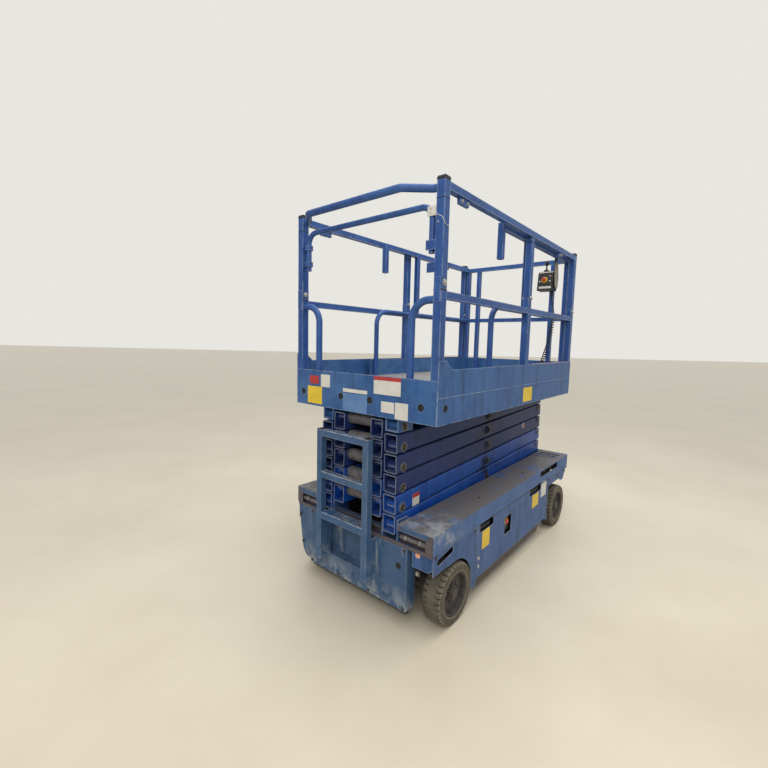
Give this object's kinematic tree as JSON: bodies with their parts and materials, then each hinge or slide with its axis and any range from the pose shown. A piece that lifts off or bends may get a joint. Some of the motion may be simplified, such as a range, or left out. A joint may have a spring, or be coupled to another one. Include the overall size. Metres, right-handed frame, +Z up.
{
  "type": "electric scissor lift, slab type with roll-out deck",
  "caption": "Self-propelled scissor lift: low chassis on solid tyres, crossed box arms, and a railed platform with a deck that rolls out and a control box on a curly lead.",
  "frame": {"origin": "centre of the overall box at floor level", "axes": "+X to the front (steered wheels), +Y to the left, +Z up"},
  "size_m": [2.4899, 1.2, 2.53],
  "materials": {
    "paint_blue": "worn satin",
    "paint_deep_blue": "satin",
    "paint_slate": "worn matt",
    "paint_dark": "matt",
    "worn_steel": "scuffed matt",
    "bare_steel": "brushed",
    "rod_chrome": "polished",
    "tyre_rubber": "dusty matt",
    "black_plastic": "matt",
    "cable_rubber": "satin",
    "battery_case": "matt"
  },
  "bodies": {
    "chassis": {"frame_rails": "worn_steel", "base_brackets": "paint_blue", "cross_members": "paint_dark", "side_decks": "worn_steel", "rear_beam": "worn_steel", "front_beam": "paint_blue", "rear_fenders": "paint_slate", "front_sides": "paint_slate", "battery_boxes": "battery_case", "belly_pan": "paint_dark", "rear_panel": "paint_slate", "ladder": "paint_blue", "rear_axle": "paint_dark", "kingpin_carriers": "paint_dark"},
    "wheel_rear_left": {"tyre_rear_left": "tyre_rubber", "rim_rear_left": "paint_dark"},
    "wheel_rear_right": {"tyre_rear_right": "tyre_rubber", "rim_rear_right": "paint_dark"},
    "wheel_front_left": {"tyre_front_left": "tyre_rubber", "rim_front_left": "paint_dark"},
    "wheel_front_right": {"tyre_front_right": "tyre_rubber", "rim_front_right": "paint_dark"},
    "knuckle_left": {"knuckle_left": "paint_dark"},
    "knuckle_right": {"knuckle_right": "paint_dark"},
    "tie_rod": {"tie_rod": "bare_steel"},
    "door_left": {"side_door_left": "paint_slate"},
    "door_right": {"side_door_right": "paint_slate"},
    "outer_1": {"outer_arms_1": "paint_deep_blue"},
    "inner_1": {"inner_arms_1": "paint_deep_blue"},
    "outer_2": {"outer_arms_2": "paint_deep_blue"},
    "inner_2": {"inner_arms_2": "paint_deep_blue"},
    "outer_3": {"outer_arms_3": "paint_deep_blue"},
    "inner_3": {"inner_arms_3": "paint_deep_blue"},
    "outer_4": {"outer_arms_4": "paint_deep_blue"},
    "inner_4": {"inner_arms_4": "paint_deep_blue"},
    "outer_5": {"outer_arms_5": "paint_deep_blue"},
    "inner_5": {"inner_arms_5": "paint_deep_blue"},
    "barrel_lower": {"cylinder_barrel_lower": "paint_dark"},
    "rod_lower": {"cylinder_rod_lower": "rod_chrome"},
    "barrel_upper": {"cylinder_barrel_upper": "paint_dark"},
    "rod_upper": {"cylinder_rod_upper": "rod_chrome"},
    "platform": {"platform_tracks": "paint_blue", "floor_joists": "paint_blue", "platform_floor": "bare_steel", "side_panels": "paint_blue", "entry_panel": "paint_blue", "lower_posts": "paint_blue", "mid_rails": "paint_blue", "upper_frames": "paint_blue", "entry_rail": "paint_blue", "grab_tubes": "paint_blue", "gate_hinges": "paint_blue"},
    "gate": {"entry_gate": "paint_blue"},
    "extension": {"extension_floor": "bare_steel", "extension_rails": "paint_blue", "extension_side_tubes": "paint_blue", "control_box": "black_plastic", "lead_thin": "cable_rubber", "lead_curl": "cable_rubber"}
  },
  "joints": [
    {"name": "lift", "type": "hinge", "parent": "chassis", "child": "outer_1", "pos_m": [-1.067, 0, 0.591], "axis": [0, -1, 0], "range_deg": [0, 54.3]},
    {"name": "cross_1", "type": "hinge", "parent": "outer_1", "child": "inner_1", "pos_m": [0.02279, 0, 0.652], "axis": [0, -1, 0], "range_deg": [-108.59, 0]},
    {"name": "cross_2", "type": "hinge", "parent": "outer_2", "child": "inner_2", "pos_m": [0.02279, 0, 0.774], "axis": [0, -1, 0], "range_deg": [-108.59, 0]},
    {"name": "stage_2", "type": "hinge", "parent": "inner_1", "child": "outer_2", "pos_m": [-1.067, 0, 0.713], "axis": [0, -1, 0], "range_deg": [0, 108.59]},
    {"name": "cross_3", "type": "hinge", "parent": "outer_3", "child": "inner_3", "pos_m": [0.02279, 0, 0.896], "axis": [0, -1, 0], "range_deg": [-108.59, 0]},
    {"name": "stage_3", "type": "hinge", "parent": "inner_2", "child": "outer_3", "pos_m": [-1.067, 0, 0.835], "axis": [0, -1, 0], "range_deg": [0, 108.59]},
    {"name": "cross_4", "type": "hinge", "parent": "outer_4", "child": "inner_4", "pos_m": [0.02279, 0, 1.018], "axis": [0, -1, 0], "range_deg": [-108.59, 0]},
    {"name": "stage_4", "type": "hinge", "parent": "inner_3", "child": "outer_4", "pos_m": [-1.067, 0, 0.957], "axis": [0, -1, 0], "range_deg": [0, 108.59]},
    {"name": "cross_5", "type": "hinge", "parent": "outer_5", "child": "inner_5", "pos_m": [0.02279, 0, 1.14], "axis": [0, -1, 0], "range_deg": [-108.59, 0]},
    {"name": "stage_5", "type": "hinge", "parent": "inner_4", "child": "outer_5", "pos_m": [-1.067, 0, 1.079], "axis": [0, -1, 0], "range_deg": [0, 108.59]},
    {"name": "platform_pivot", "type": "hinge", "parent": "inner_5", "child": "platform", "pos_m": [-1.067, 0, 1.201], "axis": [0, -1, 0], "range_deg": [0, 54.3]},
    {"name": "barrel_lower_pivot", "type": "hinge", "parent": "inner_1", "child": "barrel_lower", "pos_m": [-0.92572, 0, 0.70509], "axis": [0, -1, 0], "range_deg": [0, 117.17]},
    {"name": "rod_lower_stroke", "type": "slide", "parent": "barrel_lower", "child": "rod_lower", "axis": [0.9962, 0, 0.0874], "range_m": [0, 0.72307]},
    {"name": "barrel_upper_pivot", "type": "hinge", "parent": "inner_3", "child": "barrel_upper", "pos_m": [-0.92572, 0, 0.94909], "axis": [0, -1, 0], "range_deg": [0, 117.17]},
    {"name": "rod_upper_stroke", "type": "slide", "parent": "barrel_upper", "child": "rod_upper", "axis": [0.9962, 0, 0.0874], "range_m": [0, 0.72307]},
    {"name": "gate_swing", "type": "hinge", "parent": "platform", "child": "gate", "pos_m": [-1.1107, 0.5, 2.25], "axis": [0, 0, 1], "range_deg": [0, 85]},
    {"name": "deck_slide", "type": "slide", "parent": "platform", "child": "extension", "axis": [1, 0, 0], "range_m": [0, 0.92]},
    {"name": "door_left_hinge", "type": "hinge", "parent": "chassis", "child": "door_left", "pos_m": [0.699, 0.578, 0.33], "axis": [0, 0, -1], "range_deg": [0, 95]},
    {"name": "door_right_hinge", "type": "hinge", "parent": "chassis", "child": "door_right", "pos_m": [0.699, -0.578, 0.33], "axis": [0, 0, 1], "range_deg": [0, 95]},
    {"name": "steer_right", "type": "hinge", "parent": "chassis", "child": "knuckle_right", "pos_m": [0.985, -0.405, 0.3], "axis": [0, 0, 1], "range_deg": [-38, 38]},
    {"name": "steer_left", "type": "hinge", "parent": "chassis", "child": "knuckle_left", "pos_m": [0.985, 0.405, 0.3], "axis": [0, 0, 1], "range_deg": [-38, 38]},
    {"name": "tie_rod_pivot", "type": "hinge", "parent": "knuckle_right", "child": "tie_rod", "pos_m": [0.835, -0.405, 0.185], "axis": [0, 0, 1], "range_deg": [-38, 38]},
    {"name": "spin_rear_left", "type": "hinge", "parent": "chassis", "child": "wheel_rear_left", "pos_m": [-0.875, 0.5365, 0.19], "axis": [0, 1, 0], "continuous": true},
    {"name": "spin_rear_right", "type": "hinge", "parent": "chassis", "child": "wheel_rear_right", "pos_m": [-0.875, -0.5365, 0.19], "axis": [0, 1, 0], "continuous": true},
    {"name": "spin_front_left", "type": "hinge", "parent": "knuckle_left", "child": "wheel_front_left", "pos_m": [0.985, 0.5365, 0.19], "axis": [0, 1, 0], "continuous": true},
    {"name": "spin_front_right", "type": "hinge", "parent": "knuckle_right", "child": "wheel_front_right", "pos_m": [0.985, -0.5365, 0.19], "axis": [0, 1, 0], "continuous": true}
  ],
  "couplings": [
    {"joint": "cross_1", "follows": "lift", "ratio": -2},
    {"joint": "cross_2", "follows": "lift", "ratio": -2},
    {"joint": "stage_2", "follows": "lift", "ratio": 2},
    {"joint": "cross_3", "follows": "lift", "ratio": -2},
    {"joint": "stage_3", "follows": "lift", "ratio": 2},
    {"joint": "cross_4", "follows": "lift", "ratio": -2},
    {"joint": "stage_4", "follows": "lift", "ratio": 2},
    {"joint": "cross_5", "follows": "lift", "ratio": -2},
    {"joint": "stage_5", "follows": "lift", "ratio": 2},
    {"joint": "platform_pivot", "follows": "lift", "ratio": 1},
    {"joint": "barrel_lower_pivot", "follows": "lift", "ratio": 2.158},
    {"joint": "rod_lower_stroke", "follows": "lift", "m_per_rad": 0.763},
    {"joint": "barrel_upper_pivot", "follows": "lift", "ratio": 2.158},
    {"joint": "rod_upper_stroke", "follows": "lift", "m_per_rad": 0.763},
    {"joint": "steer_left", "follows": "steer_right", "ratio": 1},
    {"joint": "tie_rod_pivot", "follows": "steer_right", "ratio": -1}
  ]
}
